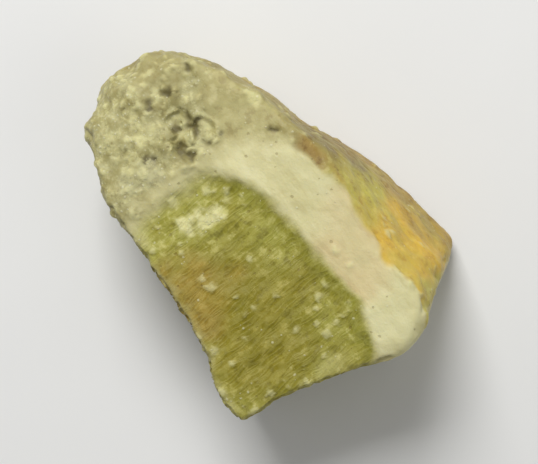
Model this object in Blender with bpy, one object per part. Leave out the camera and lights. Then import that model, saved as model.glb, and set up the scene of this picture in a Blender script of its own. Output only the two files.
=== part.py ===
"""Diced porcini mushroom: one dice, cut from near the rim of a cap.

The dice lies on one knife cut. +X runs from the rim of the cap to the cut across its thick part,
+Y points out through the cap's skin, and the pores look towards -Y. All sizes below are in
millimetres, and the mesh is made in metres. Last of all the middle of its box is moved over the
origin.
"""

import bisect
import math

import bmesh
import bpy
from mathutils import Matrix, Vector, noise

MM = 0.001

# Driving dimensions of the dice
LENGTH = 40.6
WIDTH = 28.3
THICKNESS = 17.0
TOP_SLOPE = 0.035  # the two knife cuts are not quite parallel: the rim end is the thinner one

# Corners of the dice, seen from above
RIM_SKIN_CORNER = (-19.8, 5.9)
RIM_PORE_CORNER = (-16.6, -8.7)
CUT_PORE_CORNER = (13.2, -13.8)
CUT_SKIN_CORNER_LOW = (13.2, 13.9)
CUT_SKIN_CORNER_HIGH = (14.2, 8.3)

# The four sides between them. The skin leans outwards, so it has a low and a high outline
SKIN_LOW = ((-13.0, 8.9), (-6.5, 10.3), (0.2, 12.7), (7.0, 13.5))
SKIN_HIGH = ((-13.0, 8.2), (-6.5, 9.5), (-1.5, 10.0), (4.5, 8.9), (9.5, 8.0))
PORES = ((-12.0, -10.0), (-4.5, -10.8), (4.5, -12.1), (9.2, -14.1))
RIM = ((-20.6, -6.3), (-22.6, -1.6), (-22.0, 3.0))
CUT_LOW = ((14.2, -8.0), (16.4, -2.0), (17.0, 3.4), (15.2, 9.0))
CUT_HIGH = ((14.2, -8.0), (16.6, -1.5), (18.0, 3.4), (16.6, 6.8))
DOME_POWER = 1.7  # how late the skin turns in on its way up

# Rounding of the edges
KNIFE_EDGE_RADIUS = 1.3
RIM_EDGE_RADIUS = 5.2
RIM_EDGE_REACH = 9.0

# The tube layer: where it meets the flesh, and where it stops short of the rim
TUBE_FLESH_LINE = ((-11.2, -6.5), (-9.4, -2.4), (-7.2, 0.4), (-3.2, 1.9), (4.4, 1.9), (11.0, 1.7), (18.5, -1.0))
TUBE_START_X = -9.2
TUBE_FADE = 0.9
TUBE_SINK = 0.35

# The tubes themselves, drawn larger than life: a groove for each on the cuts, a pore at its mouth
TUBE_PITCH = 1.85
TUBE_GROOVE = 0.46
TUBE_FAN = 0.012  # how much closer the tubes come for each millimetre towards the flesh
TUBE_WANDER = 0.45
TUBE_WANDER_SIZE = 6.0
TUBE_WEAR = (0.72, 0.4)  # mean depth of a groove, and how much it varies, as shares of the full depth
TUBE_WEAR_SIZE = 3.0
PORE_DEPTH = 0.62
PORE_FLOOR = 0.08  # shares of a pitch: where a pore's wall starts, and where it reaches the surface
PORE_REACH = 0.43

# The rough end, and the pits in its upper side
RIM_ROUGH_FROM_X = -8.5
RIM_ROUGH_TO_X = -13.5
RIM_LUMP_SIZE = 2.6
RIM_LUMP_HEIGHT = 0.55
RIM_LUMP_OCTAVES = 3
PITS = ((-13.8, 1.1, 0.9, 1.0), (-12.3, -0.1, 0.8, 0.9), (-11.1, 0.6, 0.7, 0.6))  # x, y, radius, depth

# Softer relief of the flesh and the skin
FLESH_WAVE_SIZE = 7.0
FLESH_WAVE_HEIGHT = 0.3
SKIN_DIMPLE_SIZE = 4.5
SKIN_DIMPLE_HEIGHT = 0.28
SKIN_DIMPLE_SHIFT = Vector((7.3, 1.9, 4.1))  # so that the dimples don't repeat the flesh's waves
SIDE_FADE = (0.7, 0.95)  # a side's relief fades out round its edges, between these parts of the normal

# Fineness of the relief, and the share of its faces that is left once flat places are thinned out
CELL = 0.4
THINNED_TO = 0.175

# The dice is made this much too deep, and the knife then takes it off to leave a flat cut
KNIFE_ALLOWANCE = 0.07
KNIFE_BLOCK = (60.0, 45.0, 8.0)
SAMPLES_PER_SPAN = 16
PARALLEL = 0.9  # part of its direction that an edge has along an axis, at least, to run along it

# Looks of the plain part
FLESH_COLOUR = (0.68, 0.63, 0.40, 1.0)
FLESH_ROUGHNESS = 0.62
SHARP_ANGLE = 50.0


def smoothstep(start, end, value):
    """0 before start, 1 after end, and a soft step between them."""
    t = min(max((value - start) / (end - start), 0.0), 1.0)
    return t * t * (3.0 - 2.0 * t)


def clamp(value, low, high):
    return min(max(value, low), high)


class SmoothCurve:
    """A curve through points in plan, read at an even pace from 0 at its start to 1 at its end."""

    def __init__(self, *points):
        knots = [Vector(point) for point in points]
        padded = [2 * knots[0] - knots[1], *knots, 2 * knots[-1] - knots[-2]]
        self.points = [knots[0]]
        for a, b, c, d in zip(padded, padded[1:], padded[2:], padded[3:]):
            for step in range(1, SAMPLES_PER_SPAN + 1):
                t = step / SAMPLES_PER_SPAN
                pull = (c - a) * t + (2 * a - 5 * b + 4 * c - d) * t**2 + (3 * b - a - 3 * c + d) * t**3
                self.points.append(b + 0.5 * pull)
        self.reach = [0.0]
        for before, after in zip(self.points, self.points[1:]):
            self.reach.append(self.reach[-1] + (after - before).length)

    def at(self, share):
        way = clamp(share, 0.0, 1.0) * self.reach[-1]
        i = clamp(bisect.bisect_right(self.reach, way) - 1, 0, len(self.points) - 2)
        t = (way - self.reach[i]) / (self.reach[i + 1] - self.reach[i])
        return self.points[i].lerp(self.points[i + 1], t)

    def y_at(self, x):
        """The curve's y at this x, level beyond its two ends. Its points must run towards +x."""
        i = bisect.bisect_right([point.x for point in self.points], x) - 1
        if i < 0:
            return self.points[0].y
        if i >= len(self.points) - 1:
            return self.points[-1].y
        before, after = self.points[i], self.points[i + 1]
        return before.y + (after.y - before.y) * (x - before.x) / (after.x - before.x)


class Outline:
    """Four curved sides in plan, filled by a Coons patch."""

    def __init__(self, skin, cut, skin_corner):
        self.pores = SmoothCurve(RIM_PORE_CORNER, *PORES, CUT_PORE_CORNER)
        self.skin = SmoothCurve(RIM_SKIN_CORNER, *skin, skin_corner)
        self.rim = SmoothCurve(RIM_PORE_CORNER, *RIM, RIM_SKIN_CORNER)
        self.cut = SmoothCurve(CUT_PORE_CORNER, *cut, skin_corner)

    def at(self, along, across):
        from_sides = self.pores.at(along).lerp(self.skin.at(along), across)
        from_ends = self.rim.at(across).lerp(self.cut.at(across), along)
        near = Vector(RIM_PORE_CORNER).lerp(self.pores.points[-1], along)
        far = Vector(RIM_SKIN_CORNER).lerp(self.skin.points[-1], along)
        return from_sides + from_ends - near.lerp(far, across)


LOW_OUTLINE = Outline(SKIN_LOW, CUT_LOW, CUT_SKIN_CORNER_LOW)
HIGH_OUTLINE = Outline(SKIN_HIGH, CUT_HIGH, CUT_SKIN_CORNER_HIGH)
TUBE_LINE = SmoothCurve(*TUBE_FLESH_LINE)


def round_edges(point):
    """Move a point of the plain block onto the same block with rounded edges."""
    half = Vector((LENGTH, WIDTH, THICKNESS)) / 2
    from_rim = 1.0 - smoothstep(-half.x, -half.x + RIM_EDGE_REACH, point.x)
    radius = KNIFE_EDGE_RADIUS + (RIM_EDGE_RADIUS - KNIFE_EDGE_RADIUS) * from_rim
    core = Vector(clamp(p, -(h - radius), h - radius) for p, h in zip(point, half))
    out = point - core
    return core + out.normalized() * radius if out.length > 0 else point


def block_to_dice(point):
    """Carry a point of the rounded block to its place on the dice."""
    along = point.x / LENGTH + 0.5
    across = point.y / WIDTH + 0.5
    up = point.z / THICKNESS + 0.5
    plan = LOW_OUTLINE.at(along, across).lerp(HIGH_OUTLINE.at(along, across), max(up, 0.0) ** DOME_POWER)
    height = THICKNESS + TOP_SLOPE * min(plan.x - CUT_SKIN_CORNER_LOW[0], 0.0)
    return Vector((plan.x, plan.y, up * (height + KNIFE_ALLOWANCE) - KNIFE_ALLOWANCE))


def tube_share(x, y):
    """1 inside the tube layer and 0 outside it, seen from above."""
    below_flesh = smoothstep(-TUBE_FADE, TUBE_FADE, TUBE_LINE.y_at(x) - y)
    past_rim = smoothstep(-TUBE_FADE, TUBE_FADE, x - TUBE_START_X)
    return below_flesh * past_rim


def groove(position):
    """One long rounded groove for each pitch, 1 deep in its middle."""
    return 0.5 - 0.5 * math.cos(2 * math.pi * position / TUBE_PITCH)


def pore(x, z):
    """Round pores in staggered rows, 1 deep in the middle of each."""
    row_height = TUBE_PITCH * math.sqrt(3) / 2
    row = math.floor(z / row_height + 0.5)
    shift = 0.5 * TUBE_PITCH * (row % 2)
    dx = (x - shift) - TUBE_PITCH * math.floor((x - shift) / TUBE_PITCH + 0.5)
    dz = z - row * row_height
    return 1.0 - smoothstep(PORE_FLOOR, PORE_REACH, math.hypot(dx, dz) / TUBE_PITCH)


def rim_relief(place):
    """The lumps and pits of the rough end, which fade out into the flesh."""
    rough = smoothstep(RIM_ROUGH_FROM_X, RIM_ROUGH_TO_X, place.x)
    lumps = noise.turbulence(place / RIM_LUMP_SIZE, RIM_LUMP_OCTAVES, False)
    pits = 0.0
    for x, y, radius, depth in PITS:
        distance = math.hypot(place.x - x, place.y - y) / radius
        pits += depth * math.exp(-(distance**2))
    return rough * lumps * RIM_LUMP_HEIGHT, pits


def facing(part_of_normal):
    """1 on a side that faces this way, fading to 0 round its rounded edges."""
    return smoothstep(*SIDE_FADE, part_of_normal)


def relief(place, normal):
    """How far the surface stands out at a place, in millimetres."""
    tubes = tube_share(place.x, place.y)
    lumps, pits = rim_relief(place)
    top = facing(normal.z)
    base = facing(-normal.z)
    skin = facing(normal.y)
    end = facing(normal.x)
    pores = facing(-normal.y) * smoothstep(-TUBE_FADE, TUBE_FADE, place.x - TUBE_START_X)

    wander = TUBE_WANDER * noise.noise(place / TUBE_WANDER_SIZE)
    worn = TUBE_WEAR[0] + TUBE_WEAR[1] * noise.noise(place / TUBE_WEAR_SIZE)
    grooves_along = groove(place.x * (1 - TUBE_FAN * place.y) + wander) * worn * tubes
    grooves_on_end = groove(place.z + wander) * worn * tubes
    out = -TUBE_GROOVE * grooves_along * (top + base)
    out -= (TUBE_GROOVE * grooves_on_end + TUBE_SINK * tubes) * end
    out -= TUBE_SINK * tubes * top
    out -= PORE_DEPTH * pore(place.x + wander, place.z + wander) * pores

    waves = noise.noise(place / FLESH_WAVE_SIZE)
    out += FLESH_WAVE_HEIGHT * waves * (top + end) * (1 - tubes)
    dimples = noise.noise(place / SKIN_DIMPLE_SIZE + SKIN_DIMPLE_SHIFT)
    out += SKIN_DIMPLE_HEIGHT * dimples * skin
    out += lumps * (1 - base)
    return out - pits * top


def slice_block(block, axis, cells):
    """Cut every edge that runs along one axis into equal cells."""
    edges = [
        edge
        for edge in block.edges
        if abs((edge.verts[1].co - edge.verts[0].co).normalized()[axis]) > PARALLEL
    ]
    bmesh.ops.subdivide_edges(block, edges=edges, cuts=cells - 1, use_grid_fill=True)


def make_dice_mesh():
    """A sliced block, bent into the dice and then raised into relief."""
    block = bmesh.new()
    bmesh.ops.create_cube(block, size=1.0)
    size = Vector((LENGTH, WIDTH, THICKNESS))
    bmesh.ops.scale(block, vec=size, verts=block.verts)
    for axis in range(3):
        slice_block(block, axis, round(size[axis] / CELL))
    for vertex in block.verts:
        vertex.co = block_to_dice(round_edges(vertex.co))
    block.normal_update()
    raised = [vertex.co + vertex.normal * relief(vertex.co, vertex.normal) for vertex in block.verts]
    for vertex, place in zip(block.verts, raised):
        vertex.co = place * MM
    mesh = bpy.data.meshes.new("porcini_dice")
    block.to_mesh(mesh)
    block.free()
    return mesh


def flesh_material():
    material = bpy.data.materials.new("porcini_flesh")
    material.use_nodes = True
    shader = material.node_tree.nodes["Principled BSDF"]
    shader.inputs["Base Color"].default_value = FLESH_COLOUR
    shader.inputs["Roughness"].default_value = FLESH_ROUGHNESS
    shader.inputs["Metallic"].default_value = 0.0
    return material


def centre_over_origin(mesh):
    """Move the mesh in plan so that the middle of its box is over the origin."""
    xs = [vertex.co.x for vertex in mesh.vertices]
    ys = [vertex.co.y for vertex in mesh.vertices]
    middle = Vector((min(xs) + max(xs), min(ys) + max(ys), 0.0)) / 2
    mesh.transform(Matrix.Translation(-middle))


def add_knife(cutters):
    """The stroke below the dice: all that it takes away is under z = 0."""
    bpy.ops.mesh.primitive_cube_add(size=1.0, location=(0.0, 0.0, -KNIFE_BLOCK[2] * MM / 2))
    knife = bpy.context.object
    knife.name = "knife_below"
    knife.data.transform(Matrix.Diagonal((*(side * MM for side in KNIFE_BLOCK), 1.0)))
    knife.hide_render = True
    knife.display_type = "WIRE"
    for collection in list(knife.users_collection):
        collection.objects.unlink(knife)
    cutters.objects.link(knife)
    return knife


def add_dice(collection, knife):
    mesh = make_dice_mesh()
    centre_over_origin(mesh)
    mesh.materials.append(flesh_material())
    mesh.shade_smooth()
    mesh.set_sharp_from_angle(angle=math.radians(SHARP_ANGLE))
    dice = bpy.data.objects.new("porcini_dice", mesh)
    collection.objects.link(dice)
    thin = dice.modifiers.new("thin_flat_places", "DECIMATE")
    thin.decimate_type = "COLLAPSE"
    thin.ratio = THINNED_TO
    cut = dice.modifiers.new("flat_cut_below", "BOOLEAN")
    cut.operation = "DIFFERENCE"
    cut.solver = "EXACT"
    cut.object = knife
    return dice


def add_collection(name):
    collection = bpy.data.collections.new(name)
    bpy.context.scene.collection.children.link(collection)
    return collection


def main():
    for thing in list(bpy.data.objects):
        bpy.data.objects.remove(thing)
    knife = add_knife(add_collection("cutters"))
    add_dice(add_collection("diced_porcini_mushroom"), knife)


main()
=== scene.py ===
# %% [markdown]
# # A frozen dice of porcini
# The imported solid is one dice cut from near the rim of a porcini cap. It has the right form, but its
# tubes are drawn larger than life and its surface is plain. This script keeps that form and grows the
# fine surface on it: tubes, torn flesh, wrinkled skin and a little frost, each with its own colour.

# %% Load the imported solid
import math
import bpy
import numpy as np
from mathutils import Matrix, Vector, noise


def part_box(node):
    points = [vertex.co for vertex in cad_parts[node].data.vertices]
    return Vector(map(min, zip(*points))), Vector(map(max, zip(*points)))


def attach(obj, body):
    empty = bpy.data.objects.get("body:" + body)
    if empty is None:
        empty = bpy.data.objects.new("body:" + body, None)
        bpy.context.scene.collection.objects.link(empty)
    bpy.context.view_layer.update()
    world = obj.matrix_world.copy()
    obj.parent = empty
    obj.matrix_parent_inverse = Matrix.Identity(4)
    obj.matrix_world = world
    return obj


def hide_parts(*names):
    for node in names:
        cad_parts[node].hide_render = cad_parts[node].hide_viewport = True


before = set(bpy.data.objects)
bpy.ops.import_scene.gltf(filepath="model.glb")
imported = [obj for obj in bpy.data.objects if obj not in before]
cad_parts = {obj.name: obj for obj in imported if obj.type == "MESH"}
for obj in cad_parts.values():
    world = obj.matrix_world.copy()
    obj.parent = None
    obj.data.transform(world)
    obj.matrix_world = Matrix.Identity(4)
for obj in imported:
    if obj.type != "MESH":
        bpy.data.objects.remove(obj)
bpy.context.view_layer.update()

MM = 0.001
NODE = "porcini_dice"
low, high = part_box(NODE)
length, width, height = (high - low) / MM
print(f"the dice is {length:.1f} x {width:.1f} x {height:.1f} mm")

# %% [markdown]
# ## Camera
# The photograph looks down on the dice, with its long side running from the upper left to the lower
# right. A camera could be turned by hand until that fits. Here its axes are built from the directions
# that the dice has in the picture, so the turn is exact. It leans a little to the picture's right, to
# let the skin show beside the cut, and a long lens keeps the sides from flaring.

# %% Camera
IMAGE_WIDTH, IMAGE_HEIGHT = 538, 464
PICTURE_RIGHT = Vector((0.656, 0.755, 0.0)).normalized()
PICTURE_UP = Vector((-0.755, 0.656, 0.0)).normalized()
CAMERA_LEAN = math.radians(6)
CAMERA_LENS = 100.0
FRAME_FILL = 0.8  # share of the picture's height that the dice takes
TARGET_HEIGHT = 0.6  # share of the dice's height


def seen_span(direction):
    """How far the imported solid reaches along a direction, as its two ends in metres."""
    reach = [point.co.dot(direction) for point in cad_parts[NODE].data.vertices]
    return min(reach), max(reach)


left, right = seen_span(PICTURE_RIGHT)
bottom, top = seen_span(PICTURE_UP)
target = PICTURE_RIGHT * (left + right) / 2 + PICTURE_UP * (bottom + top) / 2
target.z = high.z * TARGET_HEIGHT

camera_data = bpy.data.cameras.new("camera")
camera_data.lens = CAMERA_LENS
camera_data.clip_start = 0.01
camera_data.clip_end = 5.0
camera = bpy.data.objects.new("camera", camera_data)
bpy.context.scene.collection.objects.link(camera)
bpy.context.scene.camera = camera

back = Vector((0, 0, math.cos(CAMERA_LEAN))) + PICTURE_RIGHT * math.sin(CAMERA_LEAN)
side = PICTURE_UP.cross(back).normalized()
upright = back.cross(side)
view_width = (top - bottom) / FRAME_FILL * IMAGE_WIDTH / IMAGE_HEIGHT
distance = view_width * CAMERA_LENS / camera_data.sensor_width
turn = Matrix((side, upright, back)).transposed().to_4x4()
camera.matrix_world = Matrix.Translation(target + back * distance) @ turn
print(f"the camera is {distance:.3f} m from the dice and sees {view_width / MM:.0f} mm across")

# %% [markdown]
# ## A smooth blank
# The solid is made of flat triangles with coarse grooves. A finer mesh could be drawn from nothing,
# but then it might leave the solid's form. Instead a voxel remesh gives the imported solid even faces,
# a few rounds of smoothing melt the coarse relief into it, and one subdivision makes the faces small
# enough for details of half a millimetre.

# %% The blank
VOXEL = 0.43 * MM
MELTING_ROUNDS = 11
MELTING_STRENGTH = 0.5


def with_modifiers_applied(piece):
    """The piece's mesh as its modifiers leave it."""
    evaluated = piece.evaluated_get(bpy.context.evaluated_depsgraph_get())
    return bpy.data.meshes.new_from_object(evaluated)


def make_blank():
    blank = bpy.data.objects.new("porcini_surface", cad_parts[NODE].data.copy())
    bpy.context.scene.collection.objects.link(blank)
    remesh = blank.modifiers.new("even_faces", "REMESH")
    remesh.mode = "VOXEL"
    remesh.voxel_size = VOXEL
    melt = blank.modifiers.new("melt", "SMOOTH")
    melt.factor = MELTING_STRENGTH
    melt.iterations = MELTING_ROUNDS
    finer = blank.modifiers.new("finer", "SUBSURF")
    finer.levels = finer.render_levels = 1
    mesh = with_modifiers_applied(blank)
    blank.modifiers.clear()
    blank.data = mesh
    mesh.name = "porcini_surface"
    mesh.materials.clear()
    mesh.shade_smooth()
    return blank


dice = make_blank()
count = len(dice.data.vertices)
coordinates = np.empty(count * 3, np.float32)
dice.data.vertices.foreach_get("co", coordinates)
places = coordinates.reshape(-1, 3).astype(float) / MM
normals = np.array([normal.vector for normal in dice.data.vertex_normals])
spots = [Vector(place) for place in places]
print(f"the blank has {count} points and {len(dice.data.polygons)} faces")

# %% [markdown]
# ## Where each tissue lies
# A slice through a porcini cap shows three tissues. The skin is a thin tan sheet on the outside. The
# flesh below it is cream. Under the flesh hangs the olive layer of tubes, which stops short of the
# rim. Each tissue gets a mask, a number from 0 to 1 at every point, worked out from where the point
# lies and which way it faces. The same masks steer the relief and the colours, so that both agree.

# %% Helpers for masks
def step(start, end, values):
    """0 up to start, 1 from end on, and a soft step between them. End may be the smaller one."""
    share = np.clip((values - start) / (end - start), 0, 1)
    return share * share * (3 - 2 * share)


def lumps(size, seed, octaves=1):
    """Smooth noise of about -0.5 to 0.5 at each point, with lumps of this many millimetres."""
    shift = Vector((3.1, 7.7, 1.3)) * seed
    return np.array([noise.fractal(spot / size + shift, 1.0, 2.0, octaves) for spot in spots])


def patch(centre, radius, seed):
    """1 near a place, seen from above, and 0 beyond its radius, with a ragged outline."""
    away = np.hypot(x - centre[0], y - centre[1]) / radius + 0.6 * lumps(radius * 0.6, seed)
    return step(1.25, 0.35, away)


x, y, z = places.T
facing_up = step(0.45, 0.8, normals[:, 2])
facing_down = step(0.45, 0.8, -normals[:, 2])
facing_skin = step(0.52, 0.64, normals[:, 1] + 0.16 * lumps(1.5, 50))
facing_rim = step(0.2, 0.6, -normals[:, 0])
facing_pores = step(0.55, 0.9, -normals[:, 1])
facing_end = step(0.35, 0.75, normals[:, 0])
edge = 1 - np.abs(normals).max(axis=1)  # 0 on the flat sides and up to 0.4 where they meet
print(f"edges take {(edge > 0.1).mean():.0%} of the points")

# %% [markdown]
# ## Tissue borders
# The borders run like the ones in the photograph, which shows the upper cut. They could be painted on
# the mesh by hand. A few points for each border, joined by straight lines, are easier to correct.

# %% Border lines
TUBE_FLESH_LINE = (  # x and y on the upper cut
    (-9.0, -1.6), (-5.9, -0.6), (-4.2, 0.9), (-1.8, 2.4), (0.8, 3.0),
    (5.2, 2.9), (8.8, 3.2), (13.4, 3.3), (16.4, 2.3), (21.0, -0.8),
)
TUBE_START_LINE = (
    (-5.4, -12.0), (-5.8, -8.0), (-5.9, -5.5), (-5.6, -3.0), (-5.9, -0.6), (-5.4, 2.0)
)
RIM_LINE = ((-5.8, -9.0), (-7.2, 0.0), (-6.8, 4.0), (-3.6, 7.0), (-3.2, 9.5), (-5.0, 14.0))
SKIN_LINE = (
    (-3.2, 8.4), (1.4, 8.6), (5.4, 9.1), (9.3, 8.4), (12.0, 7.8), (14.5, 8.0), (17.1, 8.8)
)
GRANULAR_LINE = ((-17.0, 9.5), (-12.3, 5.0), (-6.0, 3.0))  # granular below it, smooth above


def y_on_line(line):
    return np.interp(x, *np.array(line).T)


def x_on_line(line):
    line_x, line_y = np.array(line).T
    return np.interp(y, line_y, line_x)


flesh_width = y_on_line(SKIN_LINE) - y_on_line(TUBE_FLESH_LINE)
print(f"the flesh is {flesh_width.min():.0f} to {flesh_width.max():.0f} mm wide between tubes and skin")

# %% [markdown]
# ## From lines to tissues
# No border on a real mushroom is straight or upright, so the borders wander with noise, and lean a
# little on their way down. The rim has two kinds of surface: granular where the flesh broke, and
# smooth where the skin still covers it.

# %% Masks of the tissues
TUBE_BLUR, SKIN_BLUR, RIM_BLUR, GRANULAR_BLUR = 0.7, 0.5, 1.8, 1.3
BORDER_LEAN = 0.1  # mm sideways for each mm down
BORDER_WANDER = 5.0  # mm, once well below the upper cut

depth_below_top = height - z
below = step(0.0, 5.0, depth_below_top)
ragged = 0.5 * lumps(1.3, 1) + 0.5 * lumps(4.5, 2)
lean = BORDER_LEAN * depth_below_top
wander = BORDER_WANDER * below
under_flesh = y_on_line(TUBE_FLESH_LINE) - y + ragged + lean + wander * lumps(7.0, 41)
past_start = x - x_on_line(TUBE_START_LINE) + 1.3 * ragged + lean + wander * lumps(4.5, 42)
start_blur = 2 * TUBE_BLUR * (1 + below)
tubes = step(-TUBE_BLUR, TUBE_BLUR, under_flesh) * step(-start_blur, start_blur, past_start)
skin = np.maximum(facing_skin, facing_rim * step(-10.0, -6.0, y + 3.0 * lumps(4.0, 43))) * (1 - tubes)
beyond_flesh = y - y_on_line(SKIN_LINE) + 0.9 * lumps(1.6, 40)
skin = np.maximum(skin, step(-SKIN_BLUR, SKIN_BLUR, beyond_flesh) * facing_up)
past_rim = x_on_line(RIM_LINE) - x + 1.6 * lumps(3.0, 3) + 3.0 * lumps(8.0, 44)
rim = step(-RIM_BLUR, RIM_BLUR, past_rim) * (1 - tubes)
side_skin = skin * (1 - facing_up)
below_granular = y_on_line(GRANULAR_LINE) - y + 2.5 * lumps(2.5, 52)
granular = step(-GRANULAR_BLUR, GRANULAR_BLUR, below_granular)
granular *= rim * (1 - 0.8 * side_skin * step(1.5, 8.0, depth_below_top + 6.0 * lumps(3.5, 53)))
cut_face = np.clip(facing_up + facing_down + facing_end, 0, 1) * (1 - skin)
bare_flesh = cut_face * (1 - tubes) * (1 - rim)
for tissue, values in (("tubes", tubes), ("skin", skin), ("rim", rim), ("bare flesh", bare_flesh)):
    print(f"{tissue}: {values.mean():.0%} of the points")

# %% [markdown]
# ## Tubes
# The tubes are a bundle of narrow pipes that all run from the flesh to the pores. Modelling hundreds
# of pipes would cost far too many faces. A Voronoi pattern that hardly changes along the pipes says
# how far a point is from the nearest wall, wherever it lies. Where the surface crosses the bundle it
# shows pores, and where it runs along it, long grooves: one rule gives both. The knife has smeared
# the grooves here and there, so a slow noise fades them.

# %% Tube relief
TUBE_WIDTH = 0.78
TUBE_BEND = 0.9
TUBE_END_SHARE = 0.06  # how fast the pattern changes along the tubes, against across them
WALL_TO_HOLLOW = (0.04, 0.36)
GROOVE_DEPTH = 0.13
PORE_DEPTH = 0.42
TUBE_SINK = 0.12


def hollowness(spot):
    """0 on a wall between two tubes, 1 well inside a tube."""
    bend_x = noise.noise(Vector((spot.x / 4, spot.y / 6, spot.z / 4)))
    bend_z = noise.noise(Vector((spot.x / 4 + 31, spot.y / 6, spot.z / 4)))
    across = Vector((spot.x + TUBE_BEND * bend_x, spot.y * TUBE_END_SHARE, spot.z + TUBE_BEND * bend_z))
    nearest, second = noise.voronoi(across / TUBE_WIDTH)[0][:2]
    return second - nearest


unsmeared = step(-0.1, 0.6, lumps(2.6, 4))
fading_pores = 0.6 * facing_pores * step(-7.5, 0.0, past_start + 3.0 * lumps(3.0, 57)) * (1 - side_skin)
hollow = step(*WALL_TO_HOLLOW, np.array([hollowness(spot) for spot in spots]))
hollow *= np.maximum(tubes, fading_pores)
hollow *= np.clip(facing_pores + 0.75 * facing_end + 0.1 + 0.42 * unsmeared, 0, 1)
depth = GROOVE_DEPTH + (PORE_DEPTH - GROOVE_DEPTH) * facing_pores
torn = 0.22 * lumps(2.0, 15) + 0.09 * lumps(0.9, 16)
tube_relief = -depth * hollow + (torn - TUBE_SINK) * tubes
print(f"the tubes sink by up to {-tube_relief.min():.2f} mm")

# %% [markdown]
# ## The rough rim end
# The thin rim of the cap dries and cracks, so this end is lumpy and cracked. Noise in three sizes
# makes the lumps. The thin zone where another noise is near zero makes a net of cracks, and two more
# noises break the net up, because closed loops look drawn.

# %% Rim relief
RIM_LUMPS = ((3.4, 0.34), (1.7, 0.22), (0.85, 0.16))  # size, height
CRACK_DEPTH = 0.22

cracks = step(0.05, 0.0, np.abs(lumps(2.1, 23))) * step(-0.05, 0.25, lumps(3.0, 24)) * granular
cracks *= step(-0.05, 0.15, lumps(1.3, 73))
roughened = 0.35 * rim + 0.65 * granular
rim_relief = sum(tall * lumps(size, 10 + size) for size, tall in RIM_LUMPS) * roughened
rim_relief = rim_relief - CRACK_DEPTH * cracks
print(f"the rim's lumps and cracks run from {rim_relief.min():.2f} to {rim_relief.max():.2f} mm")

# %% [markdown]
# ## Dark pits
# A group of small dark pits lies on the rim's upper side, where the flesh has crumbled. Each pit is a
# smooth dent at its own place, measured from a point that noise has shifted, so that no pit comes out
# round. Around them, noise moves the surface up and down and a little sideways, which makes crumbs.

# %% Pits
PITS = (  # x, y, radius, depth
    (-11.1, 0.7, 0.5, 0.3),
    (-10.5, 1.8, 0.45, 0.3),
    (-9.7, 2.1, 0.5, 0.35),
    (-9.4, 0.0, 0.5, 0.3),
    (-8.6, -0.5, 0.45, 0.35),
    (-7.9, 0.1, 0.4, 0.35),
    (-8.0, 1.9, 0.35, 0.2),
    (-7.5, 3.3, 0.35, 0.2),
    (-10.3, -3.4, 0.45, 0.35),
    (-14.2, 2.2, 0.4, 0.3),
    (-15.0, 5.3, 0.4, 0.25),
    (-14.4, 0.0, 0.35, 0.25),
    (-4.6, 7.6, 0.4, 0.3),
)
PIT_SHIFT = 0.75
CRUMBLED_PLACE, CRUMBLED_REACH = (-10.0, 0.7), 3.4
CRUMBLED_SHIFT = 0.6

shifted_x = x + PIT_SHIFT * lumps(0.9, 21)
shifted_y = y + PIT_SHIFT * lumps(0.9, 22)
pit, pit_shade = 0, 0
for pit_x, pit_y, radius, deep in PITS:
    dent = np.exp(-((shifted_x - pit_x) ** 2 + (shifted_y - pit_y) ** 2) / radius**2) * facing_up
    pit = pit + deep * dent
    pit_shade = pit_shade + dent
crumbled = patch(CRUMBLED_PLACE, CRUMBLED_REACH, 61) * facing_up
rim_relief += crumbled * (0.5 * lumps(1.1, 163) + 0.3 * lumps(0.6, 63)) - pit
sideways = CRUMBLED_SHIFT * crumbled[:, None] * np.array([lumps(1.5, 65), lumps(1.5, 66), 0 * x]).T
print(f"the pits go down {pit.max():.2f} mm")

# %% [markdown]
# ## Flesh and skin
# A knife leaves frozen flesh nearly flat, with soft waves and a faint grain that follows the cap. The
# skin is smooth in large, with fine wrinkles. Its edge and all the knife's edges are a little chipped.
# These are weak reliefs, so plain noise, stretched along the cap, is enough.

# %% Flesh and skin relief
def stretched_lumps(size, stretch, seed):
    """Noise whose lumps are drawn out along the cap by this factor."""
    shift = Vector((5.3, 2.9, 8.1)) * seed
    scale = Vector((1 / (size * stretch), 1 / size, 1 / size))
    return np.array([noise.noise(spot * scale + shift) for spot in spots])


flesh_waves = 0.18 * lumps(3.6, 5) + 0.08 * lumps(1.3, 6)
flesh_relief = (flesh_waves + 0.03 * stretched_lumps(0.7, 3.0, 7)) * bare_flesh
wrinkles = np.abs(stretched_lumps(1.5, 1.8, 8))
skin_relief = (0.24 * lumps(3.0, 9, 2) - 0.06 * step(0.2, 0.0, wrinkles)) * skin * (1 - granular)
chips = -0.35 * step(0.1, 0.28, edge) * step(0.0, 0.5, lumps(1.9, 11)) * (1 - facing_down)
print(f"the deepest chip takes {-chips.min():.2f} mm off an edge")

# %% [markdown]
# ## Frost
# Frost grows as small irregular grains. On the rough end they stand close together, elsewhere they
# lie apart. A few patches and single large grains catch the eye in the photograph, so they get places
# of their own. All the others are left to chance.

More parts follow.
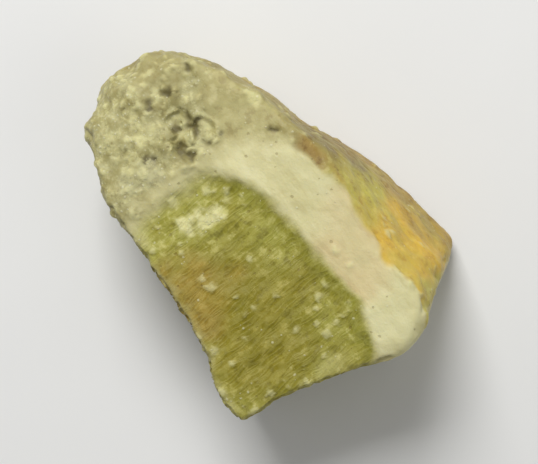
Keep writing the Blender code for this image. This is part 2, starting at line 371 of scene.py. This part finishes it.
# %% Frost places
WHITE_PATCHES = ((-3.0, -4.9, 1.15), (-2.4, -3.5, 1.2), (-1.9, -2.0, 0.95))  # x, y, radius
SINGLE_GRAINS = (  # x, y, radius of the largest grains
    (-9.1, 1.0, 0.55),
    (-8.4, 0.5, 0.45),
    (3.2, -7.0, 0.5),
    (5.5, -5.8, 0.3),
    (3.5, -2.4, 0.42),
    (-1.4, -7.1, 0.32),
    (-3.4, -9.2, 0.36),
    (10.7, 0.3, 0.5),
    (11.4, -0.6, 0.3),
    (13.7, 0.0, 0.45),
    (12.6, -1.5, 0.34),
    (10.1, -10.4, 0.36),
    (14.8, -9.4, 0.5),
    (15.6, -10.6, 0.4),
    (15.4, -3.0, 0.3),
)
GREY_PATCHES = ((-9.2, -4.7, 1.9), (-9.9, -6.6, 1.4))
CLUSTERS = ((-14.4, -5.3, 1.5), (-12.6, -2.1, 1.7), (-11.0, -5.2, 1.2), (-8.0, 8.4, 1.2))


def patches(places_and_radii, seed):
    """Several patches on the upper cut as one mask."""
    each = [patch((px, py), radius, seed) for px, py, radius in places_and_radii]
    return np.max(each, axis=0) * facing_up


white_patch = patches(WHITE_PATCHES, 13)
grey_patch = patches(GREY_PATCHES, 14)
cluster = patches(CLUSTERS, 17)
large_grains = patches(SINGLE_GRAINS, 68)
print(f"the large grains cover {(large_grains > 0.2).mean():.1%} of the points")

# %% [markdown]
# ## Frost grains
# Every cell of a second Voronoi pattern holds one possible grain. A random number for the cell decides
# if it grows there, so the number of grains follows a density mask. Noise shifts the point before it
# is measured, which makes the grains ragged. This noise starts at random unless it is given a seed,
# and with one, the same grains come back on every run.

# %% Frost relief
GRAIN_SPACING = 1.0
GRAIN_SHIFT, GRAIN_SHIFT_SIZE = 0.34, 0.6
GRAIN_REACH = 0.8  # share of the spacing
GRAIN_HEIGHT = 0.24
GRAIN_SEED = 7
TUBES_MIDDLE = (6.0, -5.5)  # bare of frost for some 5 mm around


def grain(spot, density):
    """How high a frost grain stands at a spot, from 0 to 1."""
    shifted = spot + noise.noise_vector(spot / GRAIN_SHIFT_SIZE) * GRAIN_SHIFT
    distances, seeds = noise.voronoi(shifted / GRAIN_SPACING)
    chance = 0.5 + 0.5 * noise.cell(seeds[0] * 37.0)
    if chance > density:
        return 0.0
    size = 0.55 + 0.45 * abs(noise.cell(seeds[0] * 91.0))
    share = max(0.0, 1 - distances[0] / (GRAIN_REACH * size))
    return share * share * (3 - 2 * share) * size


along, across = np.abs(x - TUBES_MIDDLE[0]), np.abs(y - TUBES_MIDDLE[1])
towards_sides = np.clip(step(5.5, 9.0, along) + step(4.5, 7.0, across), 0, 1)
patchy = step(-0.05, 0.4, lumps(3.2, 12)) * towards_sides
density = 0.04 + 0.62 * granular + 0.08 * rim + 0.4 * patchy * tubes + 0.04 * skin
density += 0.6 * (white_patch + cluster)
density = density * (1 - 0.9 * np.clip(pit_shade, 0, 1)) * (1 - 0.5 * facing_down)
density = np.clip(density, 0, 0.9)
noise.seed_set(GRAIN_SEED)
frost = np.array([grain(spot, share) for spot, share in zip(spots, density)])
frost = np.maximum(frost, 0.65 * large_grains)
print(f"frost grains cover {(frost > 0.2).mean():.0%} of the points")

# %% [markdown]
# ## Moving the points
# All reliefs are heights along the surface's own direction, so they can be added. The rim is set back
# a little, to make room for its grains. Below, the dice has to stay flat where it rests, so there the
# relief may only go inwards.

# %% Apply the relief
REST_BAND = 0.35
RIM_SETBACK = 0.4  # share of a grain's height

frost_relief = GRAIN_HEIGHT * (frost - RIM_SETBACK * rim)
relief = tube_relief + rim_relief + flesh_relief + skin_relief + chips + frost_relief
resting = step(REST_BAND, 0.0, z) * facing_down
relief = np.where(resting > 0, relief * (1 - resting) + np.minimum(relief, 0) * resting * 0.5, relief)
places += normals * relief[:, None] + sideways
places[:, 2] -= places[:, 2].min()
dice.data.vertices.foreach_set("co", (places * MM).astype(np.float32).ravel())
dice.data.update()
print(f"the relief runs from {relief.min():.2f} to {relief.max():.2f} mm")

# %% [markdown]
# ## Pale edges
# The edges are painted pale, partly as flesh that dries out and partly as a painted highlight where
# they catch the light, most of all the thin edge beside the pores. To know where that is, the
# upper cut is taken in slices, and each slice gives its lowest y.

# %% Pale edges, part dried, part painted highlight
PORE_EDGE_WIDTH = 1.0

slices = np.arange(-8, 20)
on_cut = normals[:, 2] > 0.7
pore_edge_line = [y[on_cut & (np.abs(x - slice_x) < 0.6)].min() for slice_x in slices]
from_pore_edge = y - np.interp(x, slices, pore_edge_line) + 0.7 * lumps(1.0, 69)
pore_edge = step(PORE_EDGE_WIDTH, 0.2, from_pore_edge) * step(0.2, 0.45, normals[:, 2]) * tubes
# Pale edges: part dried flesh, part painted highlight, strongest beside the pores.
dry_and_highlit = step(0.05, 0.24, edge) * (0.55 + 0.7 * lumps(1.6, 34))
dry_and_highlit = dry_and_highlit * (1 - 0.6 * skin) * (1 - 0.7 * facing_down)
dry_and_highlit = dry_and_highlit + 0.9 * pore_edge * (0.75 + 0.8 * lumps(1.2, 46))
print(f"dry edges cover {(dry_and_highlit > 0.3).mean():.0%} of the points")

# %% [markdown]
# ## Masks for the colours
# The tubes ripen from the rim inwards, so they are darkest in the middle of the dice, with an orange
# bruise at their pore side. Along the pore side their ripe colour also stands in for shade, as painted
# shade. The flesh blushes near the skin. The skin turns from brown over yellow to orange along the
# cap, and is brown further down. Each of these slow changes is one more mask. The mesh keeps all the
# masks as attributes, numbers at its points that the material can read.

# %% Colour masks
# The second patch darkens the tubes along their pore side with the ripe colour, as painted shade.
RIPE, PORE_SIDE_SHADE = ((8.2, -5.2), 9.0), ((6.5, -10.5), 5.5)  # place on the upper cut, radius
BRUISE = ((2.2, -9.4), 4.6)
BLUSH = ((9.0, 5.6), 5.5)
# The far rim's patch is painted shade: it dims the granular tone and the frost there.
FAR_RIM_SHADE = ((-16.6, 2.6), 3.6)
# The second patch here, a pale place on the tubes near the end, joins the pale edges' mask.
PALE_END, PALE_TUBE_END = ((17.4, 4.2), 3.2), ((17.8, -3.4), 3.0)
BROWN_SPOTS = ((3.1, 11.6, 2.6), (0.0, 9.8, 2.2))  # x, y, radius
FLECKS = ((-0.8, 8.0, 3.0), (3.5, 9.4, 2.6))

slow = lumps(6.0, 33) * (4.0 + 4.0 * below)
far_rim_shade = patch(*FAR_RIM_SHADE, 67)
pore_side_shade = 0.9 * patch(*PORE_SIDE_SHADE, 74)
under_skin = step(-3.2, -0.6, y - y_on_line(SKIN_LINE) - 2.2 * lean + 1.2 * lumps(3.0, 60))
orange_end = step(18.5, 15.5, x + 2.0 * lumps(2.2, 38))
brown_below = step(12.0, 3.0, z + 7.0 * lumps(4.5, 39, 2)) * step(26.0, 8.0, x)
brown_spots = 0.7 * patches(BROWN_SPOTS, 54)
masks = {
    "tubes": tubes,
    "hollow": hollow,
    # The ripe middle of the tubes, and painted shade along their pore side.
    "ripe_and_shaded": np.maximum(patch(*RIPE, 31), pore_side_shade),
    "bruise": patch(*BRUISE, 32) * tubes * step(3.0, 13.0, z + 6.0 * lumps(3.5, 45)),
    "skin": skin,
    "blush": np.maximum(patch(*BLUSH, 35), 0.8 * under_skin * facing_end) * (1 - tubes),
    "tanned": step(-1.5, 6.5, x + slow + 2.0 * lumps(2.2, 36)),
    "orange": step(7.5, 12.0, x + slow + 2.5 * lumps(2.2, 37)) * orange_end,
    "brown": (brown_below + brown_spots) * skin,
    "flecked": patches(FLECKS, 56),
    "rim": rim * (1 - 0.6 * side_skin * below),
    # At the far rim, less granular tone here and less frost below: painted shade.
    "granular": granular * (1 - 0.8 * far_rim_shade),
    "border": step(0.0, 0.6, under_flesh) * step(2.4, 1.0, under_flesh + ragged) * tubes,
    "frost": frost,
    "frosting": 0.8 * density * (1 - 0.6 * far_rim_shade) + 0.4 * grey_patch + 0.4 * white_patch,
    # Pale edges, part dried flesh and part painted highlight, with a pale patch near the end.
    "dry_and_highlit": dry_and_highlit + 0.5 * patch(*PALE_TUBE_END, 58) * facing_up,
    "film": white_patch * (1.1 + 0.9 * lumps(0.9, 47)) + cluster * (0.45 + 1.2 * lumps(0.9, 48)),
    "pale": patch(*PALE_END, 55) * (1 - tubes) * (1 - skin),
    "grey": grey_patch * (0.7 + 1.0 * lumps(1.0, 49)),
    # Painted shade between the rim's grains, in its cracks and in the pores beyond the tubes.
    "crevice_shade": granular * step(0.3, 0.0, frost) * 0.8 + cracks + hollow * (1 - tubes),
    "pit": 1.3 * pit_shade,
}
for name, values in masks.items():
    attribute = dice.data.attributes.new(name, "FLOAT", "POINT")
    attribute.data.foreach_set("value", np.clip(values, 0, 1).astype(np.float32))
print("masks on the mesh:", ", ".join(masks))

# %% [markdown]
# ## Screen colours
# Colours are picked as a screen shows them, from 0 to 255, but a shader wants linear light. Blender's
# colour picker converts them by itself, and a script has to do it with a helper.

# %% Screen colours
def light_of(red, green, blue):
    """A screen colour as linear light with full alpha."""
    shares = [value / 255 for value in (red, green, blue)]
    return (*(s / 12.92 if s <= 0.04045 else ((s + 0.055) / 1.055) ** 2.4 for s in shares), 1.0)


print("mid flesh as linear light:", [round(value, 2) for value in light_of(208, 198, 150)[:3]])

# %% [markdown]
# ## Helpers for shader nodes
# A node tree gets long when every node and link takes a line of its own, so a small class adds and
# links nodes by name.

# %% Node helpers
COLOUR, NUMBER, VECTOR = "NodeSocketColor", "NodeSocketFloat", "NodeSocketVector"


class Tree:
    """Adds nodes to a node tree and links them by socket name."""

    def __init__(self, tree):
        self.tree = tree

    def node(self, kind, **settings):
        made = self.tree.nodes.new(kind)
        for key, value in settings.items():
            setattr(made, key, value)
        return made

    def put(self, socket, value):
        """Link a socket, or set a plain value."""
        if isinstance(value, bpy.types.NodeSocket):
            self.tree.links.new(value, socket)
        else:
            socket.default_value = value

    def filled(self, kind, output, inputs, **settings):
        """A node with its inputs put in by name or number, as one of its outputs."""
        made = self.node(kind, **settings)
        for key, value in inputs.items():
            self.put(made.inputs[key], value)
        return made.outputs[output]

    def noise(self, place, scale, detail=3.0, roughness=0.55, output="Fac"):
        inputs = {"Vector": place, "Scale": scale, "Detail": detail, "Roughness": roughness}
        return self.filled("ShaderNodeTexNoise", output, inputs)

    def ramp(self, value, start, end, low=0.0, high=1.0):
        """A value mapped softly from start and end to low and high."""
        inputs = {"Value": value, "From Min": start, "From Max": end, "To Min": low, "To Max": high}
        return self.filled("ShaderNodeMapRange", "Result", inputs, interpolation_type="SMOOTHSTEP")

    def math(self, operation, first, second=0.0):
        return self.filled("ShaderNodeMath", "Value", {0: first, 1: second}, operation=operation)

    def vector_math(self, operation, first, second):
        inputs = {0: first, 1: second}
        return self.filled("ShaderNodeVectorMath", "Vector", inputs, operation=operation)

    def scaled(self, vector, factor):
        inputs = {0: vector, "Scale": factor}
        return self.filled("ShaderNodeVectorMath", "Vector", inputs, operation="SCALE")

    def mix(self, share, first, second):
        """Two colours mixed by a share. The node's colour sockets have numbers 6 and 7, and 2."""
        inputs = {0: share, 6: first, 7: second}
        return self.filled("ShaderNodeMix", 2, inputs, data_type="RGBA")

    def mask(self, name):
        return self.node("ShaderNodeAttribute", attribute_name=name).outputs["Fac"]

    def group(self, name, output, inputs):
        return self.filled("ShaderNodeGroup", output, inputs, node_tree=bpy.data.node_groups[name])


def new_group(name, inputs, output, kind):
    """An empty node group with named sockets: its tree, its inputs and its one output."""
    group = bpy.data.node_groups.new(name, "ShaderNodeTree")
    for socket_name, (socket_kind, default) in inputs.items():
        socket = group.interface.new_socket(socket_name, in_out="INPUT", socket_type=socket_kind)
        if default is not None:
            socket.default_value = default
    group.interface.new_socket(output, in_out="OUTPUT", socket_type=kind)
    tree = Tree(group)
    return tree, tree.node("NodeGroupInput").outputs, tree.node("NodeGroupOutput").inputs[output]


print("a node tree can now be filled through Tree and new_group")

# %% [markdown]
# ## Mottling
# No tissue has one flat colour. Each drifts between two tones in soft clouds, with light and dark
# specks on top. All tissues and the floor use this, so it is a node group with the tones as inputs.

# %% Group: mottled colour
def build_mottle_group():
    inputs = {
        "Place": (VECTOR, None),
        "Tone": (COLOUR, None),
        "Other tone": (COLOUR, None),
        "Light speck": (COLOUR, None),
        "Dark speck": (COLOUR, None),
        "Cloud scale": (NUMBER, 250.0),
        "Speck scale": (NUMBER, 800.0),
        "Speck amount": (NUMBER, 0.5),
    }
    tree, given, out = new_group("mottled_colour", inputs, "Colour", COLOUR)
    cloud = tree.ramp(tree.noise(given["Place"], given["Cloud scale"], 4.0, 0.6), 0.35, 0.65)
    fine = tree.noise(given["Place"], given["Speck scale"], 4.0, 0.65)
    light = tree.math("MULTIPLY", tree.ramp(fine, 0.53, 0.66), given["Speck amount"])
    dark = tree.math("MULTIPLY", tree.ramp(fine, 0.47, 0.34), given["Speck amount"])
    tones = tree.mix(cloud, given["Tone"], given["Other tone"])
    lighter = tree.mix(light, tones, given["Light speck"])
    tree.put(out, tree.mix(dark, lighter, given["Dark speck"]))


build_mottle_group()
print("built the group mottled_colour")

# %% [markdown]
# ## Fine tubes
# The tubes that the mesh can carry are still coarser than the real ones. A shader can draw finer ones
# without a single face: cells stretched along the tubes, with a thin wall between them. The group
# gives the wall as a mask, for the colour and the bump alike.

# %% Group: fine tubes
STRETCH_ALONG_TUBES = (1.0, 0.1, 1.0)


def build_tube_group():
    inputs = {
        "Place": (VECTOR, None),
        "Tubes per metre": (NUMBER, 2600.0),
        "Bend": (NUMBER, 0.0012),
    }
    tree, given, out = new_group("fine_tubes", inputs, "Wall", NUMBER)
    wander = tree.noise(given["Place"], 280.0, 2.0, 0.5, output="Color")
    bent = tree.vector_math("ADD", given["Place"], tree.scaled(wander, given["Bend"]))
    stretched = tree.vector_math("MULTIPLY", bent, STRETCH_ALONG_TUBES)
    cells = {"Vector": stretched, "Scale": given["Tubes per metre"]}
    to_wall = tree.filled("ShaderNodeTexVoronoi", "Distance", cells, feature="DISTANCE_TO_EDGE")
    tree.put(out, tree.ramp(to_wall, 0.0, 0.28, 1.0, 0.0))


build_tube_group()
print("built the group fine_tubes")

# %% [markdown]
# ## Frost film
# Between the grains lies finer frost, as a thin ragged film. It is noise cut off at a level. The level
# follows the amount, so that the film closes up where there is more frost.

# %% Group: frost film
def build_film_group():
    inputs = {"Place": (VECTOR, None), "Amount": (NUMBER, 0.2), "Scale": (NUMBER, 1700.0)}
    tree, given, out = new_group("frost_film", inputs, "Film", NUMBER)
    fine = tree.noise(given["Place"], given["Scale"], 4.0, 0.65)
    level = tree.ramp(given["Amount"], 0.0, 1.0, 0.68, 0.42)
    tree.put(out, tree.ramp(fine, level, tree.math("ADD", level, 0.13)))


build_film_group()
print("built the group frost_film")

# %% [markdown]
# ## Scattered dots
# Single ice crystals sparkle all over the dice, and the tissues have tiny holes that are coloured
# dark: painted shade in the small dents, and dark flecks where they crowd near the skin. Both are dots
# that lie scattered, so one group makes both. Each Voronoi cell holds a dot with a random size, and a
# random number of the cell decides if the dot is there. A fine noise makes the dots uneven.

# %% Group: scattered dots
DOT_JITTER = 0.2 * MM


def build_dot_group():
    inputs = {
        "Place": (VECTOR, None),
        "Cells per metre": (NUMBER, 2500.0),
        "Chance": (NUMBER, 0.2),
        "Largest": (NUMBER, 0.4),
    }
    tree, given, out = new_group("scattered_dots", inputs, "Dots", NUMBER)
    jitter = tree.noise(given["Place"], 5000.0, 2.0, 0.5, output="Color")
    place = tree.vector_math("ADD", given["Place"], tree.scaled(jitter, DOT_JITTER))
    cells = tree.node("ShaderNodeTexVoronoi")
    tree.put(cells.inputs["Vector"], place)
    tree.put(cells.inputs["Scale"], given["Cells per metre"])
    random = tree.node("ShaderNodeSeparateColor")
    tree.put(random.inputs["Color"], cells.outputs["Color"])
    present = tree.math("LESS_THAN", random.outputs["Red"], given["Chance"])
    size = tree.ramp(random.outputs["Green"], 0.0, 1.0, 0.35, 1.0)
    size = tree.math("MULTIPLY", size, given["Largest"])
    dot = tree.ramp(cells.outputs["Distance"], size, tree.math("MULTIPLY", size, 0.5))
    tree.put(out, tree.math("MULTIPLY", dot, present))


build_dot_group()
print("built the group scattered_dots")

# %% [markdown]
# ## Colours of the tissues
# The tones come from the photograph: cream and blushed flesh, yellow-green and olive tubes,
# skin from brown over yellow to orange, and a greyish beige rim. Each tissue has its own sizes for the
# clouds and specks.

# %% Tissue colours
TISSUES = {  # tone, other tone, light speck, dark speck, cloud scale, speck scale, speck amount
    "flesh": ((200, 193, 142), (208, 202, 154), (218, 213, 168), (184, 174, 120), 240, 700, 0.45),
    "blushed_flesh": ((206, 187, 138), (201, 189, 140), (213, 200, 154), (186, 165, 116), 240, 700, 0.45),
    "tubes": ((155, 152, 64), (143, 136, 46), (188, 183, 108), (118, 112, 34), 300, 850, 0.8),
    "ripe_tubes": ((124, 115, 18), (135, 124, 30), (160, 148, 64), (106, 96, 15), 260, 850, 0.6),
    "bruised_tubes": ((152, 126, 42), (140, 118, 38), (174, 148, 70), (116, 94, 28), 300, 900, 0.6),
    "beige_skin": ((143, 129, 74), (130, 111, 56), (170, 158, 102), (112, 88, 46), 300, 850, 0.7),
    "yellow_skin": ((190, 180, 84), (180, 165, 76), (202, 194, 106), (148, 120, 52), 300, 850, 0.55),
    "orange_skin": ((210, 170, 62), (198, 172, 74), (218, 188, 92), (178, 134, 46), 300, 850, 0.5),
    "brown_skin": ((154, 122, 58), (166, 140, 70), (186, 160, 90), (114, 84, 38), 280, 850, 0.6),
    "smooth_rim": ((176, 168, 114), (164, 154, 100), (194, 187, 136), (140, 126, 76), 330, 800, 0.6),
    "granular_rim": ((190, 185, 134), (166, 158, 102), (210, 206, 156), (132, 122, 74), 380, 1000, 0.65),
}


def add_tissue(tree, place, name):
    """The mottled colour of one tissue."""
    tone, other, light, dark, cloud_scale, speck_scale, amount = TISSUES[name]
    inputs = {
        "Place": place,
        "Tone": light_of(*tone),
        "Other tone": light_of(*other),
        "Light speck": light_of(*light),
        "Dark speck": light_of(*dark),
        "Cloud scale": cloud_scale,
        "Speck scale": speck_scale,
        "Speck amount": amount,
    }
    return tree.group("mottled_colour", "Colour", inputs)


print("tissues:", ", ".join(TISSUES))

# %% [markdown]
# ## Laying the tissues over one another
# One material dresses the whole dice, because the tissues grow into each other. It starts with the
# flesh and lays each further colour over it by its mask, the way a painter glazes: tubes, skin, the
# rim, pale edges that are part dried and part painted highlight, then painted shade in crevices,
# holes and pits, and the frost last. A glaze is a mask, its strength, and either a tissue's name or
# one flat colour, so the order can be read from short lists.

# %% Glazes
TUBE_GLAZES = (
    # The ripe glaze is the ripe tubes' colour, and along the pore side it is painted shade.
    ("ripe_and_shaded", 1.0, "ripe_tubes"),
    ("bruise", 0.9, "bruised_tubes"),
    ("border", 0.45, (132, 130, 40)),
    # The hollow glaze darkens the insides of the tubes: painted shade.
    ("hollow", 0.32, (92, 84, 26)),
)
SKIN_GLAZES = (
    ("tanned", 1.0, "yellow_skin"),
    ("orange", 0.9, "orange_skin"),
    ("brown", 0.85, "brown_skin"),
)
OUTER_GLAZES = (
    ("rim", 0.9, "smooth_rim"),
    ("granular", 0.9, "granular_rim"),
    ("pale", 0.6, (216, 212, 166)),
    # The pale edge glaze is part dried flesh and part painted highlight.
    ("dry_and_highlit", 0.55, (184, 178, 124)),
    ("grey", 0.6, (186, 183, 148)),
    ("film", 0.85, (214, 209, 150)),
    # The crevice glaze is painted shade in recesses.
    ("crevice_shade", 0.34, (118, 108, 64)),
)
# The pits' dark colour is painted shade in the dents.
PIT_SHADE_GLAZE = (("pit", 0.75, (72, 62, 30)),)
WALL_COLOUR, WALL_STRENGTH = (196, 190, 118), 0.14
# The holes' dark colour is painted shade in the dents, and dark flecks where they crowd near the skin.
FLECK_AND_HOLE_SHADE_COLOUR, FLECK_AND_HOLE_SHADE_STRENGTH = (118, 98, 52), 0.4


def glaze(tree, place, colour, glazes):
    """Further colours laid over one colour, each by its mask and strength."""
    for mask, strength, above in glazes:
        share = tree.math("MULTIPLY", tree.mask(mask), strength)
        above = add_tissue(tree, place, above) if isinstance(above, str) else light_of(*above)
        colour = tree.mix(share, colour, above)
    return colour


print("glazes:", len(TUBE_GLAZES + SKIN_GLAZES + OUTER_GLAZES + PIT_SHADE_GLAZE))

# %% [markdown]
# The tubes and the skin are glazed on their own before they are laid on the flesh by their masks. The
# mottling of the flesh is drawn out along the cap, because its fibres run that way.

# %% Colour of the dice
def mix_tissues(tree, place, along_cap, fine_wall, holes):
    """The colour of the dice, before frost."""
    tubes = glaze(tree, place, add_tissue(tree, place, "tubes"), TUBE_GLAZES)
    walls = tree.math("MULTIPLY", fine_wall, WALL_STRENGTH)
    tubes = tree.mix(walls, tubes, light_of(*WALL_COLOUR))
    blushed = add_tissue(tree, along_cap, "blushed_flesh")
    flesh = tree.mix(tree.mask("blush"), add_tissue(tree, along_cap, "flesh"), blushed)
    skin = glaze(tree, place, add_tissue(tree, place, "beige_skin"), SKIN_GLAZES)
    colour = tree.mix(tree.mask("tubes"), flesh, tubes)
    colour = tree.mix(tree.mask("skin"), colour, skin)
    colour = glaze(tree, place, colour, OUTER_GLAZES)
    # The holes are darkened: painted shade, and dark flecks near the skin.
    colour = tree.mix(tree.math("MULTIPLY", holes, FLECK_AND_HOLE_SHADE_STRENGTH), colour, light_of(*FLECK_AND_HOLE_SHADE_COLOUR))
    return glaze(tree, place, colour, PIT_SHADE_GLAZE)


print("the flesh is glazed first with tubes and skin, then with the rim, dry edges, film and pits")

# %% [markdown]
# ## Porcini material
# The colour is only half of it. Finer patterns come on top: the walls of the tubes, small holes, a
# frost film and single ice crystals. Each shows both in the colour and in the bump, so they are made
# once and handed on.

# %% Fine patterns
def fine_patterns(tree, place):
    """Masks of the tube walls, the holes, the frost film and the ice crystals."""
    wall = tree.group("fine_tubes", "Wall", {"Place": place})
    wall = tree.math("MULTIPLY", wall, tree.mask("tubes"))
    chance = tree.ramp(tree.mask("flecked"), 0.0, 1.0, 0.25, 0.85)
    holes = {"Place": place, "Cells per metre": 1200.0, "Chance": chance, "Largest": 0.24}
    holes = tree.group("scattered_dots", "Dots", holes)
    film = tree.group("frost_film", "Film", {"Place": place, "Amount": tree.mask("frosting")})
    chance = tree.ramp(tree.mask("frosting"), 0.0, 0.7, 0.05, 0.4)
    ice = {"Place": place, "Cells per metre": 2400.0, "Chance": chance, "Largest": 0.42}
    return wall, holes, film, tree.group("scattered_dots", "Dots", ice)


print("four fine patterns: tube walls, holes, frost film and ice crystals")

# %% [markdown]
# ## The whole surface
# The flesh lets light in a little way, so some of it is scattered under the surface. The skin is
# smoother than the cuts, and frost is duller than both. A bump from the fine patterns and plain noise
# gives the relief that is too small for the mesh.

# %% Material: porcini
STRETCH_ALONG_CAP = (0.35, 1.0, 1.0)
FROST_COLOUR, FILM_STRENGTH = (207, 203, 150), 0.42
ICE_COLOUR, ICE_STRENGTH = (222, 220, 186), 0.4
WATERY_IOR = 1.33
BUMP_DEPTH = 0.1 * MM
SCATTER_DEPTH = 0.8 * MM


def build_porcini_material():
    material = bpy.data.materials.new("porcini")
    material.use_nodes = True
    material.node_tree.nodes.clear()
    tree = Tree(material.node_tree)
    place = tree.node("ShaderNodeTexCoord").outputs["Object"]
    along_cap = tree.vector_math("MULTIPLY", place, STRETCH_ALONG_CAP)
    wall, holes, film, ice = fine_patterns(tree, place)

    colour = mix_tissues(tree, place, along_cap, wall, holes)
    grains = tree.ramp(tree.mask("frost"), 0.0, 0.7, 0.0, 0.5)
    frost = tree.math("MAXIMUM", grains, tree.math("MULTIPLY", film, FILM_STRENGTH))
    colour = tree.mix(frost, colour, light_of(*FROST_COLOUR))
    colour = tree.mix(tree.math("MULTIPLY", ice, ICE_STRENGTH), colour, light_of(*ICE_COLOUR))

    cloudy = tree.ramp(tree.noise(place, 700.0, 3.0), 0.3, 0.7, 0.44, 0.6)
    roughness = tree.math("ADD", cloudy, tree.math("MULTIPLY", frost, 0.22))
    roughness = tree.math("SUBTRACT", roughness, tree.math("MULTIPLY", tree.mask("skin"), 0.08))
    bump = tree.noise(place, 2200.0, 5.0, 0.65)
    fibres = tree.math("MULTIPLY", tree.noise(along_cap, 1500.0, 3.0), 0.7)
    bump = tree.math("ADD", bump, fibres)
    for pattern, strength in ((wall, 0.35), (film, 0.35), (ice, 0.5), (holes, -0.5)):
        bump = tree.math("ADD", bump, tree.math("MULTIPLY", pattern, strength))
    inputs = {"Strength": 0.75, "Distance": BUMP_DEPTH, "Height": bump}
    normal = tree.filled("ShaderNodeBump", "Normal", inputs)

    shader = tree.node("ShaderNodeBsdfPrincipled")
    tree.put(shader.inputs["Base Color"], colour)
    tree.put(shader.inputs["Roughness"], roughness)
    tree.put(shader.inputs["Normal"], normal)
    shader.inputs["IOR"].default_value = WATERY_IOR
    shader.inputs["Subsurface Weight"].default_value = 0.18
    shader.inputs["Subsurface Radius"].default_value = (1.0, 0.75, 0.35)
    shader.inputs["Subsurface Scale"].default_value = SCATTER_DEPTH
    tree.put(tree.node("ShaderNodeOutputMaterial").inputs["Surface"], shader.outputs["BSDF"])
    return material


dice.data.materials.append(build_porcini_material())
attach(dice, "root")
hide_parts(NODE)
print("the dice rides on root and replaces", NODE)

# %% [markdown]
# ## Floor
# A plain pale floor catches the shadow. A perfectly even grey looks like nothing, so it drifts very
# slightly between two tones, with the same mottling group as the tissues.

# %% Floor
def build_floor():
    bpy.ops.mesh.primitive_plane_add(size=2.0, location=(0, 0, 0))
    floor = bpy.context.object
    floor.name = "floor"
    material = bpy.data.materials.new("floor")
    material.use_nodes = True
    tree = Tree(material.node_tree)
    pale = (221, 221, 219)
    inputs = {
        "Place": tree.node("ShaderNodeTexCoord").outputs["Object"],
        "Tone": light_of(*pale),
        "Other tone": light_of(224, 224, 222),
        "Light speck": light_of(*pale),
        "Dark speck": light_of(*pale),
        "Cloud scale": 12.0,
        "Speck amount": 0.0,
    }
    shader = material.node_tree.nodes["Principled BSDF"]
    tree.put(shader.inputs["Base Color"], tree.group("mottled_colour", "Colour", inputs))
    shader.inputs["Roughness"].default_value = 0.7
    floor.data.materials.append(material)


build_floor()
print("the floor is at z = 0")

# %% [markdown]
# ## Light
# Two large soft lamps and a pale surrounding are enough. The main lamp stands at the top of the
# picture, half high, so that its light grazes the cut and brings out the relief, and a weak one fills
# from the opposite side.

# %% Light
WORLD_STRENGTH = 0.27


def add_lamp(name, towards, away, size, watts):
    """A square lamp that looks at the dice from a direction."""
    data = bpy.data.lights.new(name, "AREA")
    data.size = size
    data.energy = watts
    lamp = bpy.data.objects.new(name, data)
    bpy.context.scene.collection.objects.link(lamp)
    lamp.location = target + towards.normalized() * away
    lamp.rotation_mode = "QUATERNION"
    lamp.rotation_quaternion = towards.to_track_quat("Z", "Y")


from_top = PICTURE_UP * 0.9 - PICTURE_RIGHT * 0.2 + Vector((0, 0, 1.1))
from_right = PICTURE_RIGHT * 0.9 - PICTURE_UP * 0.5 + Vector((0, 0, 0.8))
add_lamp("main_lamp", from_top, away=0.4, size=0.2, watts=1.6)
add_lamp("fill_lamp", from_right, away=0.5, size=0.4, watts=0.35)
world = bpy.data.worlds.new("studio")
world.use_nodes = True
background = world.node_tree.nodes["Background"]
background.inputs["Color"].default_value = (1.0, 1.0, 1.0, 1.0)
background.inputs["Strength"].default_value = WORLD_STRENGTH
bpy.context.scene.world = world
bpy.context.scene.view_settings.view_transform = "Standard"
print("two lamps and a pale surrounding")
